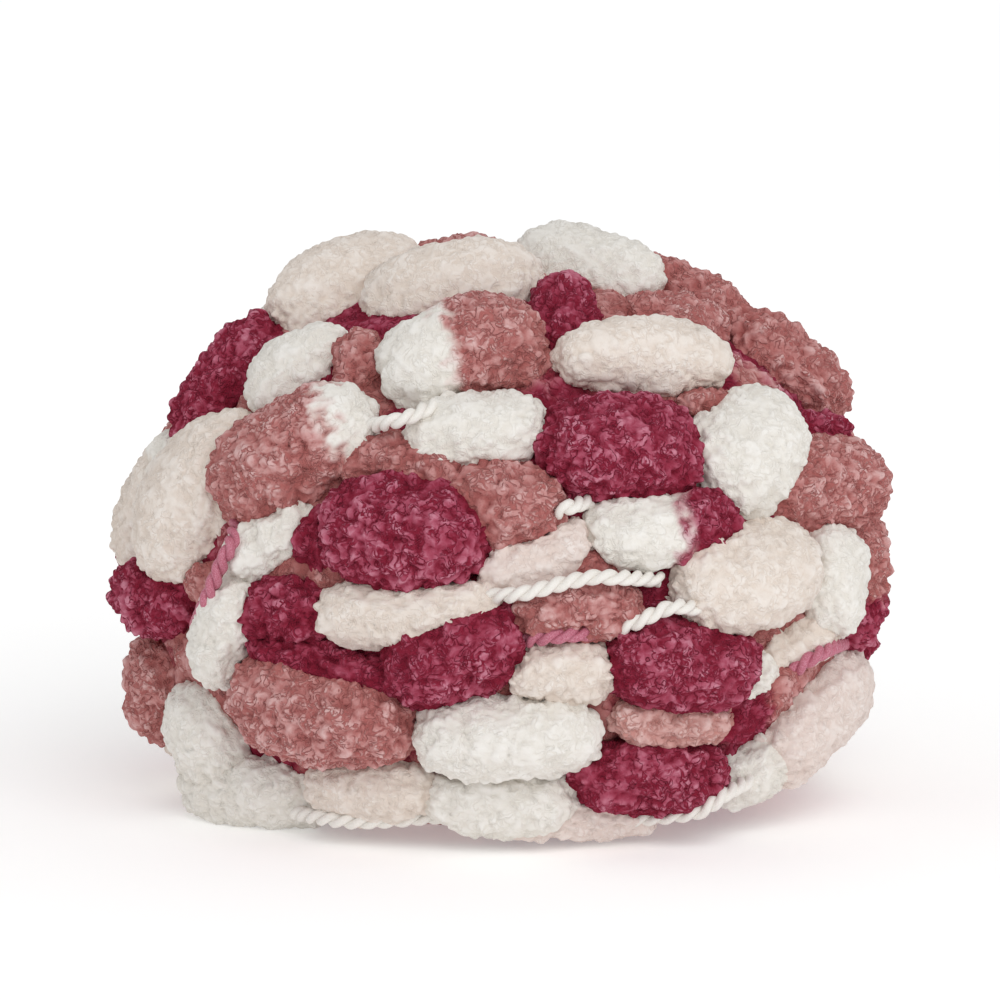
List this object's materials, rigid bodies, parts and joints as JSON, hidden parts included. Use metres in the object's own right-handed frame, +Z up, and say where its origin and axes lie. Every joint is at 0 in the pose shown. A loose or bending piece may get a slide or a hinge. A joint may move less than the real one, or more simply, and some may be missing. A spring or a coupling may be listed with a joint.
{
  "type": "pompom yarn ball",
  "caption": "Wound ball of plush pompom yarn in white, cream, rose and raspberry, its pompoms joined by a thin twisted cord, resting on its flattened foot.",
  "frame": {"origin": "on the flat foot that the ball rests on, under the middle of the wound form", "axes": "+X to the right along the longest side, +Y towards the back, +Z up"},
  "size_m": [0.1885, 0.1682, 0.1382],
  "materials": {
    "pompom_yarn": "plush polyester pile in crinkled tufts, space-dyed white, cream, pale pink, rose and raspberry, matt with a soft sheen"
  },
  "bodies": {
    "root": {"yarn_ball": "pompom_yarn"}
  },
  "joints": []
}
